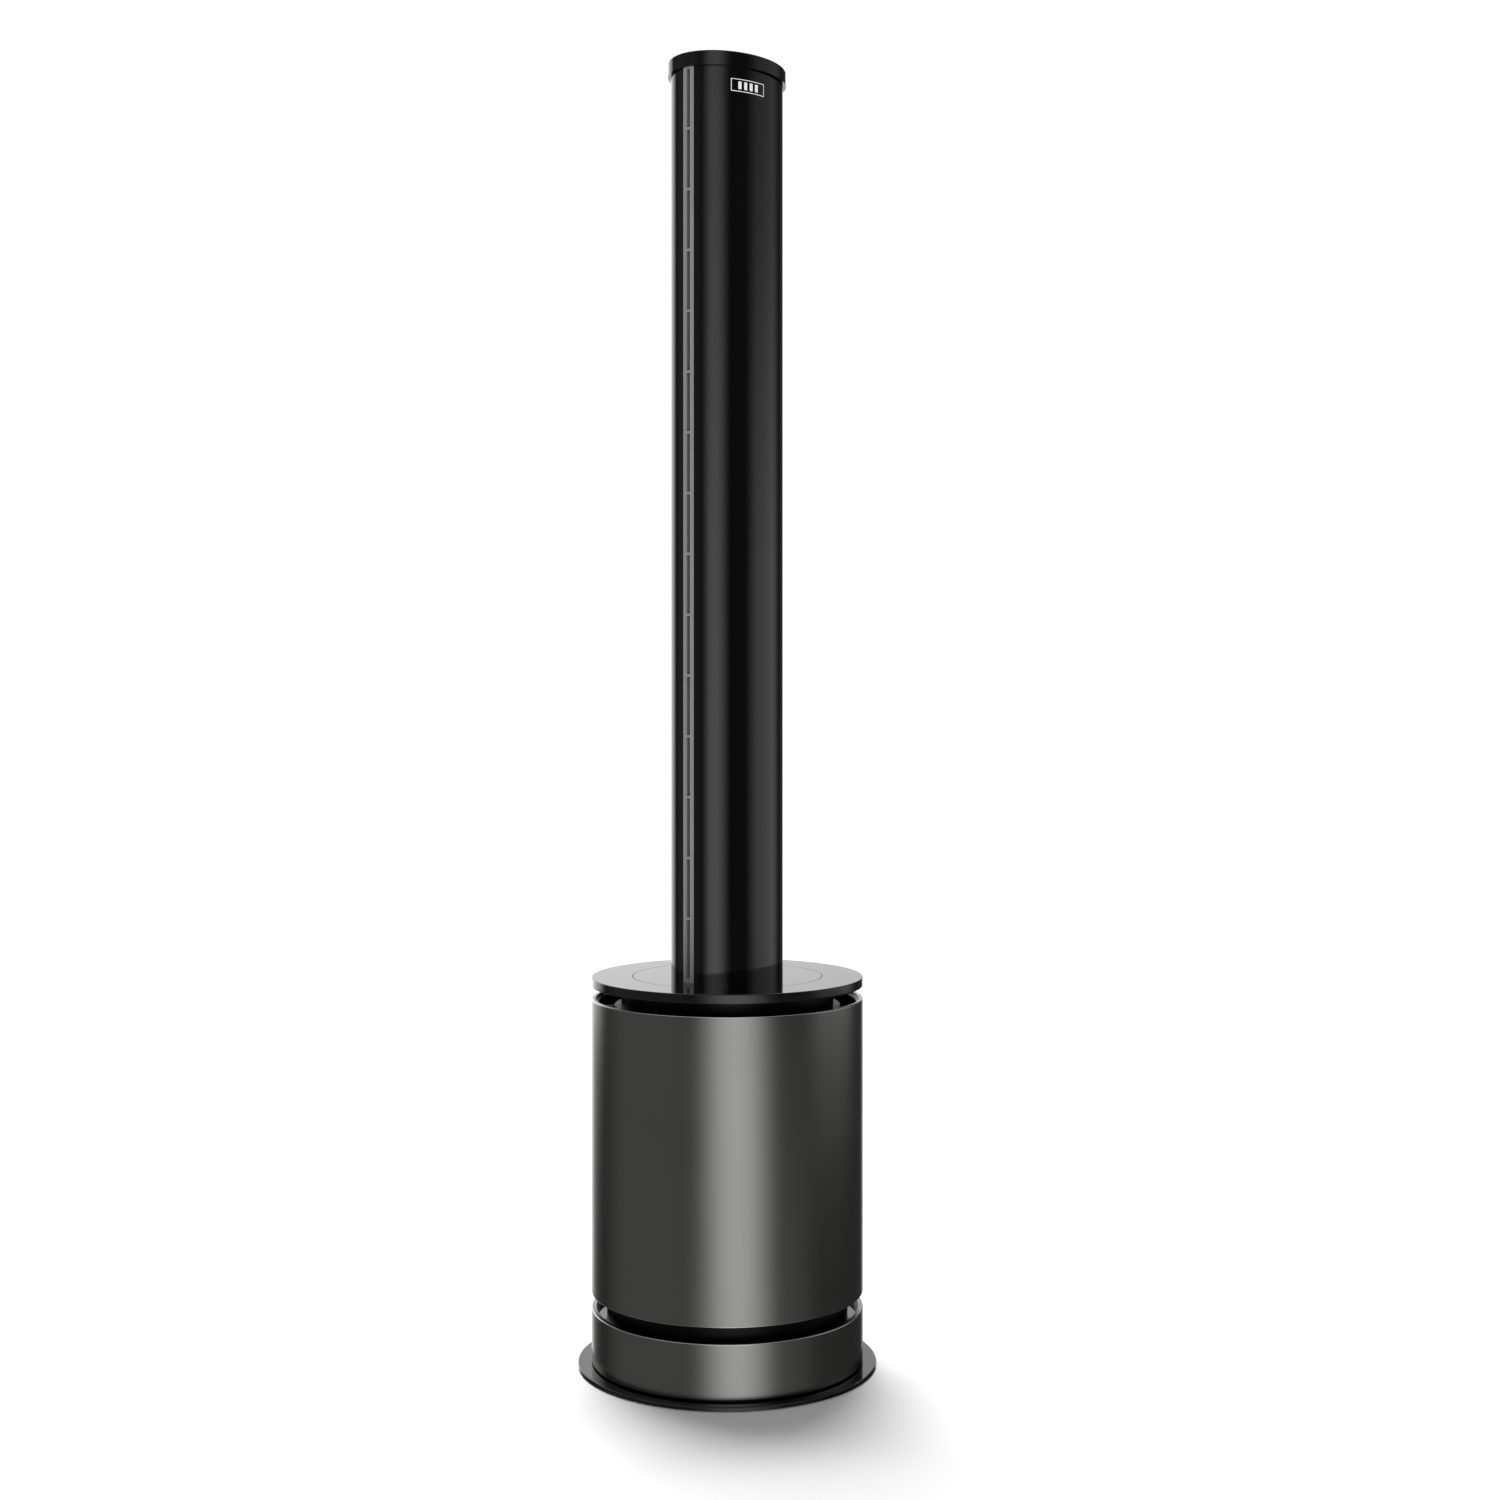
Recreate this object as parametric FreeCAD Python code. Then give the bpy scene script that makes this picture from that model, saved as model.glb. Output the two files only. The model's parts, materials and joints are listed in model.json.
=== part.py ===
"""Oscillating tower fan: an oval outlet column on a turntable over a round filter and blower base.

Millimetres, +Z up. The origin is on the floor under the middle of the base. The outlet strip on the
nose of the column points along -Y, and azimuths are counted from there towards +X.
"""
import FreeCAD, Part
import math
import os

from FreeCAD import Placement, Rotation, Vector

os.makedirs("parts", exist_ok=True)

# ---------------------------------------------------------------- overall stack, from the floor up
foot_stand = 0.8
plate_thickness = 3.1
band_lift = 1.3
band_height = 42.6
lower_gap = 12.4
shell_height = 236.5
upper_gap = 9.7
deck_thickness = 7.4
column_height = 724.1
cap_height = 11.7

plate_bottom = foot_stand
plate_top = plate_bottom + plate_thickness
band_bottom = plate_top + band_lift
band_top = band_bottom + band_height
shell_bottom = band_top + lower_gap
shell_top = shell_bottom + shell_height
deck_bottom = shell_top + upper_gap
deck_top = deck_bottom + deck_thickness
tube_top = deck_top + column_height
cap_top = tube_top + cap_height

# ---------------------------------------------------------------- shared clearances
fit = 0.15              # radial room between pieces that slip into each other and stay
running = 0.3           # room between pieces that move past each other
shaft_clearance = 0.05  # radial running fit of a shaft in its bearing
past = 1.0              # how far a cutting shape reaches past the faces it cuts
lap = 0.5               # how far joined stretches of one moulding run into each other

# ---------------------------------------------------------------- round outside
plate_radius = 120.7
shell_radius = 109.8
shell_wall = 3.1
band_wall = 3.9
deck_overhang = 0.1
turntable_radius = 76.6
turntable_seam = 0.5
turntable_thickness = 4.0
edge_round = 0.8

shell_inner = shell_radius - shell_wall
band_inner = shell_radius - band_wall
deck_radius = shell_radius + deck_overhang
turntable_bottom = deck_top - turntable_thickness

# ---------------------------------------------------------------- base compartment
foot_count = 6
foot_radius = 8.0
foot_sink = 1.5
foot_inset = 14.0
tray_floor = 2.5
tray_wall = 2.0
tray_lip = 2.0
base_deck_sink = 6.0
base_deck_thickness = 2.8
boss_radius = 4.5
boss_circle = 80.0
boss_count = 4

tray_radius = band_inner - fit
tray_floor_top = plate_top + tray_floor
base_deck_top = band_top - base_deck_sink
base_deck_bottom = base_deck_top - base_deck_thickness

# ---------------------------------------------------------------- boards and power inlet
board_thickness = 1.6
board_lift = 8.0
board_length = 84.0
board_width = 50.0
board_offset = 34.0
board_hole_margin = 5.0
standoff_radius = 3.5
component_offset = 18.0
transformer_length = 26.0
transformer_width = 22.0
transformer_height = 18.0
capacitor_radius = 5.0
capacitor_height = 19.0
capacitor_spacing = 12.0
capacitor_count = 3
processor_side = 12.0
processor_height = 1.6
inlet_width = 26.0
inlet_height = 17.0
inlet_depth = 24.0
inlet_wall = 2.2
inlet_cavity_depth = 15.0
inlet_pin_radius = 1.2
inlet_pin_spacing = 8.6
inlet_pin_end = 4.0
inlet_pin_setback = 4.0

board_bottom = tray_floor_top + board_lift
board_top = board_bottom + board_thickness
inlet_middle = (tray_floor_top + base_deck_bottom) / 2
inlet_start = shell_radius - inlet_depth

# ---------------------------------------------------------------- filter tower inside the shell
drum_radius = 97.4
drum_wall = 2.5
drum_lid = 6.0
drum_rise = 18.0
filter_radius = 90.5
filter_bore = 61.0
filter_cap_height = 4.0
pleat_count = 48
pleat_sheet = 3.0
pleat_inset = 1.0
gasket_height = 3.0
gasket_margin = 8.0

drum_top = shell_bottom + drum_rise

# ---------------------------------------------------------------- neck drum and shell cage
neck_radius = 86.0
neck_wall = 2.5
neck_height = 112.0
neck_floor = 3.0
neck_flange_radius = 91.3
neck_flange_drop = 5.8
neck_flange_thickness = 2.5
cage_wall = 2.0
cage_drop = 4.8
cage_foot = 4.0
cage_hoop_height = 5.0
cage_hoop_gap = 1.5
cage_rib_count = 6
cage_rib_width = 3.0
shell_hem = 1.4

neck_bottom = deck_bottom - neck_height
neck_inner = neck_radius - neck_wall
flange_top = shell_top - neck_flange_drop
flange_bottom = flange_top - neck_flange_thickness
cage_radius = shell_inner - fit
cage_inner = cage_radius - cage_wall
cage_top = shell_top - cage_drop
cage_bottom = shell_bottom + cage_foot
cage_hoop_inner = filter_radius + cage_hoop_gap
filter_top = neck_bottom - gasket_height

# ---------------------------------------------------------------- blower, from the neck floor up
bell_throat = 46.0
bell_curve = 8.0
bell_wall = 2.0
housing_gap = 9.5
housing_wall = 2.0
housing_height = 58.6
impeller_room = 6.0
impeller_eye = 49.0
impeller_rise = 7.4
shroud_thickness = 1.5
blade_height = 21.9
blade_count = 9
blade_thickness = 1.8
blade_inner = 34.0
blade_sweep = 42.0
back_plate_thickness = 2.0
hub_radius = 8.0
hub_height = 13.0
nut_radius = 4.5
nut_height = 3.5
pod_room = 9.0
pod_wall = 2.0
pod_gap = 5.0
pod_floor_hole = 12.0
vane_count = 11
vane_thickness = 1.8
vane_height = 18.0
vane_sweep = 16.0
cover_flatness = 14.0
cone_height = 23.0
socket_inner = 41.4
socket_wall = 1.6
seal_height = 4.0
seal_drop = 1.0
socket_drop = 1.3

housing_inner = neck_inner - housing_gap - housing_wall
impeller_radius = housing_inner - impeller_room
bell_bottom = neck_bottom + neck_floor
shroud_bottom = bell_bottom + impeller_rise
blade_bottom = shroud_bottom + shroud_thickness
back_plate_bottom = blade_bottom + blade_height
back_plate_top = back_plate_bottom + back_plate_thickness
pod_bottom = back_plate_top + pod_gap
housing_top = bell_bottom + housing_height
pod_top = housing_top
socket_radius = socket_inner + socket_wall
cone_top = housing_top + cone_height

# ---------------------------------------------------------------- blower motor
motor_radius = 29.0
motor_wall = 1.5
motor_end = 2.5
motor_height = 28.0
shaft_radius = 2.5
shaft_tip = 1.0
bearing_radius = 8.0
bearing_height = 5.0
bearing_seat_wall = 1.5
stator_gap = 0.2
stator_bore = 16.3
stator_height = 12.0
stator_slots = 9
slot_depth = 7.0
slot_span = 7.6
slot_shift = 0.4
coil_gap = 0.5
coil_overhang = 1.5
rotor_radius = 15.8
isolator_height = 4.0
isolator_inset = 1.5

pod_radius = motor_radius + pod_room
cover_height = pod_radius - cover_flatness
stator_radius = motor_radius - motor_wall - stator_gap
motor_bottom = pod_bottom + pod_wall
motor_top = motor_bottom + motor_height
motor_middle = (motor_bottom + motor_top) / 2
slot_circle = (stator_bore + stator_radius) / 2 - slot_shift
shaft_bottom = back_plate_top - hub_height - nut_height - shaft_tip
shaft_top = motor_top - motor_end

# ---------------------------------------------------------------- turntable drive
gear_module = 1.2
gear_teeth = 85
pinion_teeth = 17
pressure_angle = math.radians(20.0)
gear_backlash = 0.12
dedendum = 1.25
flank_points = 5
gear_height = 5.1
gear_flange_thickness = 2.0
gear_flange_inset = 10.6
gear_screw_inset = 4.0
drive_hub_radius = 47.0
drive_hub_wall = 1.8
retainer_radius = 52.0
retainer_thickness = 1.9
carrier_thickness = 3.0
carrier_drop = 4.0
ledge_thickness = 3.0
ledge_width = 6.5
glide_ring_width = 3.0
glide_inset = 0.4
deck_screw_inset = 3.2
deck_screw_count = 6
deck_screw_cover = 2.0
pinion_height = 4.6
pinion_shaft_radius = 2.5
pinion_shaft_depth = 10.0
stepper_radius = 13.5
stepper_height = 19.0
stepper_offset = 7.0
stepper_room_gap = 1.0
stepper_nose_radius = 4.5
stepper_nose_height = 2.0

deck_screw_circle = neck_inner - deck_screw_inset
gear_flange_radius = turntable_radius - gear_flange_inset
gear_top = turntable_bottom - gear_flange_thickness
gear_bottom = gear_top - gear_height
deck_screw_end = deck_top - deck_screw_cover
carrier_top = deck_bottom - carrier_drop
carrier_bottom = carrier_top - carrier_thickness
ledge_bottom = carrier_bottom - ledge_thickness
carrier_bore = drive_hub_radius + running
retainer_top = carrier_bottom - running
retainer_bottom = retainer_top - retainer_thickness
drive_hub_inner = drive_hub_radius - drive_hub_wall
pinion_distance = gear_module * (gear_teeth + pinion_teeth) / 2
pinion_top = gear_top - running
pinion_bottom = pinion_top - pinion_height
socket_top = gear_top - socket_drop
seal_top = socket_top - seal_drop
glide_outer = turntable_radius - glide_inset
stepper_distance = pinion_distance + stepper_offset

# ---------------------------------------------------------------- column, an ellipse in plan
column_half_length = 54.0
column_half_width = 40.8
column_wall = 2.5
cap_overhang = 2.4
cap_wall = 2.2
cap_round = 1.6
cap_peg_radius = 3.0
cap_peg_length = 5.0
cap_peg_spacing = 44.0
strip_width = 10.4
strip_depth = 6.0
slot_width = 3.3
slot_count = 15
rib_thickness = 1.9
strip_foot = 3.6
strip_head = 1.2
lip_thickness = 1.6
lip_reach = 1.2
lip_end_angle = math.radians(50.0)
lip_bend_across = 0.35
lip_bend_back = 0.52
end_plate_thickness = 6.0
duct_half_length = 38.0
duct_half_width = 27.0
foot_screw_angle = math.radians(40.0)
foot_screw_inset = 0.6
notch_room = 1.0

slot_pitch = (column_height - strip_foot - strip_head + rib_thickness) / slot_count
first_slot = deck_top + strip_foot
foot_top = deck_top + end_plate_thickness
top_plate_bottom = tube_top - end_plate_thickness
tube_inner_length = column_half_length - column_wall
tube_inner_width = column_half_width - column_wall

# ---------------------------------------------------------------- badge and status light
badge_width = 31.0
badge_height = 9.9
badge_thickness = 0.5
badge_border = 0.5
badge_recess = 0.25
badge_azimuth = math.radians(57.4)
badge_drop = 14.5
light_length = 11.0
light_width = 1.0
light_radius = 60.0
light_azimuth = math.radians(29.2)
light_board_length = 16.0
light_board_width = 7.0
light_board_thickness = 1.2
status_board_top = gear_top + running + light_board_thickness

# ---------------------------------------------------------------- fasteners
screw_radius = 1.5
screw_head_radius = 2.8
screw_head_height = 1.8
screw_sink = 0.2
small_screw_radius = 1.25
small_head_radius = 2.3
small_head_height = 1.5
tray_screw_length = 9.0
board_screw_length = 6.0
screw_tip_room = 1.0    # depth left under a screw's tip in a blind hole
machine_screw = (screw_radius, screw_head_radius, screw_head_height)
small_screw = (small_screw_radius, small_head_radius, small_head_height)


# ================================================================ shape helpers
def disc(radius, bottom, top):
    """Upright cylinder about the fan's axis."""
    return Part.makeCylinder(radius, top - bottom, Vector(0, 0, bottom))


def bore(radius, bottom, top):
    """Cylinder about the fan's axis that reaches past both faces of a layer."""
    return disc(radius, bottom - past, top + past)


def ring(outer, inner, bottom, top):
    """Upright tube about the fan's axis."""
    return disc(outer, bottom, top).cut(bore(inner, bottom, top))


def post(radius, bottom, top, x, y):
    """Upright cylinder standing at a point."""
    return Part.makeCylinder(radius, top - bottom, Vector(x, y, bottom))


def holes(radius, bottom, top, points):
    """Cylinders at each point that reach past both faces of a layer."""
    return [post(radius, bottom - past, top + past, x, y) for x, y in points]


def blind_holes(radius, face, end, points):
    """Cylinders at each point that enter at one face and stop at another height."""
    if face > end:
        return [post(radius, end, face + past, x, y) for x, y in points]
    return [post(radius, face - past, end, x, y) for x, y in points]


def block(size_x, size_y, bottom, top, x=0.0, y=0.0):
    """Upright box centred on a point."""
    corner = Vector(x - size_x / 2, y - size_y / 2, bottom)
    return Part.makeBox(size_x, size_y, top - bottom, corner)


def oval(half_length, half_width, bottom, top):
    """Upright prism with an elliptical plan, long along Y."""
    middle = Vector(0, 0, bottom)
    edge = Part.Ellipse(Vector(0, -half_length, bottom), Vector(half_width, 0, bottom), middle).toShape()
    return Part.Face(Part.Wire(edge)).extrude(Vector(0, 0, top - bottom))


def turned(outline):
    """Solid of revolution about the fan's axis from (radius, height) corners."""
    corners = [Vector(radius, 0, height) for radius, height in outline]
    face = Part.Face(Part.makePolygon(corners + corners[:1]))
    return face.revolve(Vector(0, 0, 0), Vector(0, 0, 1), 360)


def prism(points, bottom, top):
    """Upright prism over a plan polygon."""
    corners = [Vector(x, y, bottom) for x, y in points]
    face = Part.Face(Part.makePolygon(corners + corners[:1]))
    return face.extrude(Vector(0, 0, top - bottom))


def curved_plate(plan_points, thickness, bottom, top):
    """Plate of even thickness, bent along the circle through three plan points."""
    points = [Vector(x, y, bottom) for x, y in plan_points]
    circle = Part.Circle(*points)

    def shifted(offset):
        scale = (circle.Radius + offset) / circle.Radius
        return [circle.Center + (point - circle.Center) * scale for point in points]

    inside = shifted(-thickness / 2)
    outside = shifted(thickness / 2)
    edges = [
        Part.Arc(*inside).toShape(),
        Part.makeLine(inside[2], outside[2]),
        Part.Arc(*reversed(outside)).toShape(),
        Part.makeLine(outside[0], inside[0]),
    ]
    return Part.Face(Part.Wire(edges)).extrude(Vector(0, 0, top - bottom))


def fused(shapes):
    """One solid from touching or overlapping shapes."""
    shapes = list(shapes)
    return shapes[0].multiFuse(shapes[1:]).removeSplitter()


def cut_all(shape, tools):
    """The shape with every tool taken away."""
    for tool in tools:
        shape = shape.cut(tool)
    return shape


def turned_by(shape, degrees):
    """The shape turned about the fan's axis."""
    copy = shape.copy()
    copy.Placement = Placement(Vector(0, 0, 0), Rotation(Vector(0, 0, 1), degrees)).multiply(copy.Placement)
    return copy


def repeated(shape, count, start_degrees=0.0):
    """Evenly spaced copies about the fan's axis."""
    return [turned_by(shape, start_degrees + 360.0 * step / count) for step in range(count)]


def mirrored_x(shape):
    """The shape mirrored from side to side."""
    return shape.mirror(Vector(0, 0, 0), Vector(1, 0, 0))


def on_circle(radius, azimuth_degrees):
    """Plan point at an azimuth counted from the nose."""
    angle = math.radians(azimuth_degrees)
    return radius * math.sin(angle), -radius * math.cos(angle)


def screw(x, y, seat, length, head_up=True, size=machine_screw):
    """Pan-head screw whose head rests on the seat height."""
    radius, head_radius, head_height = size
    if head_up:
        return fused([post(radius, seat - length, seat, x, y), post(head_radius, seat, seat + head_height, x, y)])
    return fused([post(radius, seat, seat + length, x, y), post(head_radius, seat - head_height, seat, x, y)])


def corner_points(length, width, x, y, margin):
    """The four fixing points of a board."""
    across = length / 2 - margin
    along = width / 2 - margin
    return [(x + i * across, y + j * along) for i in (-1, 1) for j in (-1, 1)]


def softened(shape, height, radius):
    """The shape with its outermost round edge at one height rounded."""
    rims = [edge for edge in shape.Edges if abs(edge.BoundBox.ZMin - height) < 1e-6
            and abs(edge.BoundBox.ZMax - height) < 1e-6]
    widest = max(edge.BoundBox.XLength for edge in rims)
    return shape.makeFillet(radius, [edge for edge in rims if edge.BoundBox.XLength > widest - 1e-6])


# ================================================================ base
foot_points = [on_circle(plate_radius - foot_inset, 360.0 * step / foot_count) for step in range(foot_count)]
plate_screw_seat = plate_bottom + screw_head_height + screw_sink
boss_points = [on_circle(boss_circle, 360.0 * (step + 0.5) / boss_count) for step in range(boss_count)]
board_points = {
    "power": corner_points(board_length, board_width, 0, board_offset, board_hole_margin),
    "control": corner_points(board_length, board_width, 0, -board_offset, board_hole_margin),
}
pinion_point = on_circle(pinion_distance, 180)
stepper_point = on_circle(stepper_distance, 180)
peg_points = [(0, side * cap_peg_spacing / 2) for side in (-1, 1)]


def rubber_feet():
    return Part.makeCompound([post(foot_radius, 0, plate_bottom + foot_sink, x, y) for x, y in foot_points])


def base_plate():
    plate = disc(plate_radius, plate_bottom, plate_top)
    plate = softened(plate, plate_top, edge_round)
    pockets = blind_holes(foot_radius + fit, plate_bottom, plate_bottom + foot_sink, foot_points)
    heads = blind_holes(screw_head_radius + fit, plate_bottom, plate_screw_seat, boss_points)
    shanks = holes(screw_radius + fit, plate_bottom, plate_top, boss_points)
    return cut_all(plate, pockets + heads + shanks)


def inlet_hole(room):
    """Space for the inlet body through the rear of the band and the tray."""
    return block(inlet_width + 2 * room, 4 * inlet_depth, inlet_middle - inlet_height / 2 - room,
                 inlet_middle + inlet_height / 2 + room, 0, shell_radius)


def base_tray():
    tray = ring(tray_radius, tray_radius - tray_wall, plate_top, base_deck_bottom)
    floor = disc(tray_radius - tray_wall, plate_top, tray_floor_top)
    lip = ring(tray_radius + tray_lip, tray_radius, plate_top, band_bottom)
    bosses = [post(boss_radius, tray_floor_top, base_deck_bottom, x, y) for x, y in boss_points]
    all_board_points = board_points["power"] + board_points["control"]
    standoffs = [post(standoff_radius, tray_floor_top, board_bottom, x, y) for x, y in all_board_points]
    tray = fused([tray, floor, lip] + bosses + standoffs)
    bores = holes(screw_radius, plate_top, base_deck_bottom, boss_points)
    bores += blind_holes(small_screw_radius, board_bottom, tray_floor_top + screw_tip_room, all_board_points)
    return cut_all(tray, bores + [inlet_hole(fit)])


def tray_screws():
    """Screws up through the plate and down through the base deck, into the same four bosses."""
    lower = [screw(x, y, plate_screw_seat, tray_screw_length, head_up=False) for x, y in boss_points]
    upper = [screw(x, y, base_deck_top, tray_screw_length) for x, y in boss_points]
    return Part.makeCompound(lower + upper)


def lower_band():
    band = ring(shell_radius, band_inner, band_bottom, band_top)
    band = softened(band, band_top, edge_round)
    return band.cut(inlet_hole(fit))


def base_deck():
    deck = disc(tray_radius, base_deck_bottom, base_deck_top)
    return cut_all(deck, holes(screw_radius + fit, base_deck_bottom, base_deck_top, boss_points))


def power_inlet():
    """Recessed two-pin mains socket, open to the rear."""
    body = block(inlet_width, inlet_depth, inlet_middle - inlet_height / 2, inlet_middle + inlet_height / 2,
                 0, shell_radius - inlet_depth / 2)
    body = body.common(disc(shell_radius, 0, band_top))
    cavity = block(inlet_width - 2 * inlet_wall, 2 * inlet_cavity_depth,
                   inlet_middle - inlet_height / 2 + inlet_wall, inlet_middle + inlet_height / 2 - inlet_wall,
                   0, shell_radius)
    return cut_all(body, [cavity] + inlet_pin_rods())


def inlet_pin_rods():
    """Two pins through the back of the socket, set back from its mouth."""
    start = inlet_start - inlet_pin_end
    length = inlet_depth + inlet_pin_end - inlet_pin_setback
    return [
        Part.makeCylinder(inlet_pin_radius, length, Vector(side * inlet_pin_spacing / 2, start, inlet_middle),
                          Vector(0, 1, 0))
        for side in (-1, 1)
    ]


def inlet_pins():
    return Part.makeCompound(inlet_pin_rods())


def board(name):
    """Glass-fibre board with its four fixing holes."""
    side = 1 if name == "power" else -1
    sheet = block(board_length, board_width, board_bottom, board_top, 0, side * board_offset)
    return cut_all(sheet, holes(small_screw_radius + fit, board_bottom, board_top, board_points[name]))


def power_board():
    return board("power")


def control_board():
    return board("control")


def board_screws():
    return Part.makeCompound([
        screw(x, y, board_top, board_screw_length, size=small_screw)
        for points in board_points.values() for x, y in points
    ])


def transformer():
    return block(transformer_length, transformer_width, board_top, board_top + transformer_height,
                 -component_offset, board_offset)


def capacitors():
    first = component_offset - capacitor_radius * 2
    spots = [(first + step * capacitor_spacing, board_offset) for step in range(capacitor_count)]
    return Part.makeCompound([post(capacitor_radius, board_top, board_top + capacitor_height, x, y) for x, y in spots])


def processor():
    return block(processor_side, processor_side, board_top, board_top + processor_height, 0, -board_offset)


# ================================================================ filter tower
def filter_drum():
    """Closed pedestal that carries the filter and the shell cage."""
    wall = ring(drum_radius, drum_radius - drum_wall, base_deck_top, drum_top)
    drum = fused([wall, disc(drum_radius - drum_wall / 2, drum_top - drum_lid, drum_top)])
    screw_end = drum_top - drum_lid + screw_tip_room
    return cut_all(drum, blind_holes(screw_radius, drum_top, screw_end, cage_screw_points()))


def filter_cap(bottom):
    return ring(filter_radius, filter_bore, bottom, bottom + filter_cap_height)


def filter_lower_cap():
    return filter_cap(drum_top)


def filter_upper_cap():
    return filter_cap(filter_top - filter_cap_height)


def filter_media():
    """Sheet folded into upright pleats, closed into a ring."""
    peak = filter_radius - pleat_inset
    valley = filter_bore + pleat_inset + pleat_sheet
    bottom = drum_top + filter_cap_height
    top = filter_top - filter_cap_height

    def star(inset):
        turns = [(peak if step % 2 else valley) - inset for step in range(2 * pleat_count)]
        return [on_circle(radius, 180.0 * step / pleat_count) for step, radius in enumerate(turns)]

    return prism(star(0), bottom, top).cut(prism(star(pleat_sheet), bottom - past, top + past))


def filter_gasket():
    return ring(filter_radius - gasket_margin, filter_bore + gasket_margin, filter_top, neck_bottom)


def shell_cage():
    """Liner that holds the shell, tied to the drum and the neck by two rings of ribs."""
    liner = ring(cage_radius, cage_inner, cage_bottom, cage_top)
    low_hoop = ring(drum_radius, cage_hoop_inner, drum_top, drum_top + cage_hoop_height)
    high_hoop = ring(neck_flange_radius, neck_radius + fit, flange_bottom - cage_hoop_height, flange_bottom)

    def rib(inner, bottom):
        reach = cage_inner - inner + cage_wall / 2
        return block(reach, cage_rib_width, bottom, bottom + cage_hoop_height, inner + reach / 2)

    low_rib = rib(drum_radius - cage_wall, drum_top)
    high_rib = rib(neck_flange_radius - cage_wall, flange_bottom - cage_hoop_height)
    ribs = repeated(low_rib, cage_rib_count, 30) + repeated(high_rib, cage_rib_count, 30)
    cage = fused([liner, low_hoop, high_hoop] + ribs)
    return cut_all(cage, holes(screw_radius, drum_top, drum_top + cage_hoop_height, cage_screw_points()))


def cage_screw_points():
    middle = (drum_radius + cage_hoop_inner) / 2
    return [on_circle(middle, 360.0 * (step + 0.5) / cage_rib_count) for step in range(cage_rib_count)]


def cage_screws():
    length = cage_hoop_height + drum_lid - screw_tip_room - lap
    seat = drum_top + cage_hoop_height
    return Part.makeCompound([screw(x, y, seat, length) for x, y in cage_screw_points()])


def outer_shell():
    shell = ring(shell_radius, shell_inner, shell_bottom, shell_top)
    shell = softened(shell, shell_top, edge_round)
    shell = softened(shell, shell_bottom, edge_round)
    return fused([shell, ring(shell_inner + lap, cage_inner, cage_top, cage_top + shell_hem)])


def drum_neck():
    """Upper drum: blower chamber with a floor, a flange under the upper gap and a ledge near its top."""
    wall = ring(neck_radius, neck_inner, neck_bottom, deck_bottom)
    floor = ring(neck_inner + lap, bell_throat + bell_curve + running, neck_bottom, bell_bottom)
    flange = ring(neck_flange_radius, neck_radius - lap, flange_bottom, flange_top)
    ledge = ring(neck_inner + lap, neck_inner - ledge_width, ledge_bottom, carrier_bottom)
    neck = fused([wall, floor, flange, ledge])
    stepper_room = holes(stepper_radius + stepper_room_gap, ledge_bottom, carrier_bottom, [stepper_point])[0]
    bores = holes(screw_radius + fit, ledge_bottom, carrier_bottom, deck_screw_points())
    return cut_all(neck, bores + [stepper_room.common(disc(neck_inner, neck_bottom, deck_bottom))])


# ================================================================ blower
def inlet_bell():
    """Rounded mouth that leads air into the impeller."""
    mouth = bell_throat + bell_curve
    lip = bell_bottom + bell_curve
    middle = Vector(mouth, 0, lip)
    outer_radius = bell_curve - bell_wall

    def toward(radius, degrees):
        angle = math.radians(degrees)
        return middle + Vector(-radius * math.cos(angle), 0, -radius * math.sin(angle))

    def arc(radius):
        return Part.Arc(toward(radius, 0), toward(radius, 45), toward(radius, 90)).toShape()

    corners = [
        toward(bell_curve, 90),
        Vector(housing_inner - fit, 0, bell_bottom),
        Vector(housing_inner - fit, 0, bell_bottom + bell_wall),
        toward(outer_radius, 90),
    ]
    edges = [arc(bell_curve)] + [Part.makeLine(start, end) for start, end in zip(corners, corners[1:])]
    edges += [arc(outer_radius), Part.makeLine(toward(outer_radius, 0), toward(bell_curve, 0))]
    face = Part.Face(Part.Wire(Part.__sortEdges__(edges)))
    return face.revolve(Vector(0, 0, 0), Vector(0, 0, 1), 360)


def impeller():
    """Backward-curved centrifugal wheel, open at its eye underneath."""
    shroud = ring(impeller_radius, impeller_eye, shroud_bottom, blade_bottom)
    back_plate = disc(impeller_radius, back_plate_bottom, back_plate_top)
    hub = disc(hub_radius, back_plate_top - hub_height, back_plate_bottom + lap)
    tip = impeller_radius - lap
    bend = [on_circle(blade_inner, 0), on_circle((blade_inner + tip) / 2, blade_sweep * 0.43),
            on_circle(tip, blade_sweep)]
    blade = curved_plate(bend, blade_thickness, blade_bottom - lap, back_plate_bottom + lap)
    wheel = fused([shroud, back_plate, hub] + repeated(blade, blade_count))
    return wheel.cut(bore(shaft_radius, shaft_bottom, shaft_top))


def impeller_nut():
    top = back_plate_top - hub_height
    corners = [on_circle(nut_radius, 60 * step) for step in range(6)]
    return prism(corners, top - nut_height, top).cut(bore(shaft_radius, top - nut_height, top))


def motor_shaft():
    return disc(shaft_radius, shaft_bottom, shaft_top)


def motor_rotor():
    half = stator_height / 2
    return ring(rotor_radius, shaft_radius, motor_middle - half, motor_middle + half)


def diffuser():
    """Blower housing with guide vanes that carry the motor pod in the middle."""
    wall = ring(housing_inner + housing_wall, housing_inner, bell_bottom, housing_top)
    pod = ring(pod_radius, pod_radius - pod_wall, pod_bottom, pod_top)
    pod_floor = ring(pod_radius - pod_wall / 2, pod_floor_hole, pod_bottom, motor_bottom)
    bend = [
        on_circle(pod_radius - pod_wall / 2, 0),
        on_circle((pod_radius + housing_inner) / 2, vane_sweep / 3),
        on_circle(housing_inner + housing_wall / 2, vane_sweep),
    ]
    vane = curved_plate(bend, vane_thickness, pod_top - vane_height, pod_top)
    return fused([wall, pod, pod_floor] + repeated(vane, vane_count))


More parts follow.
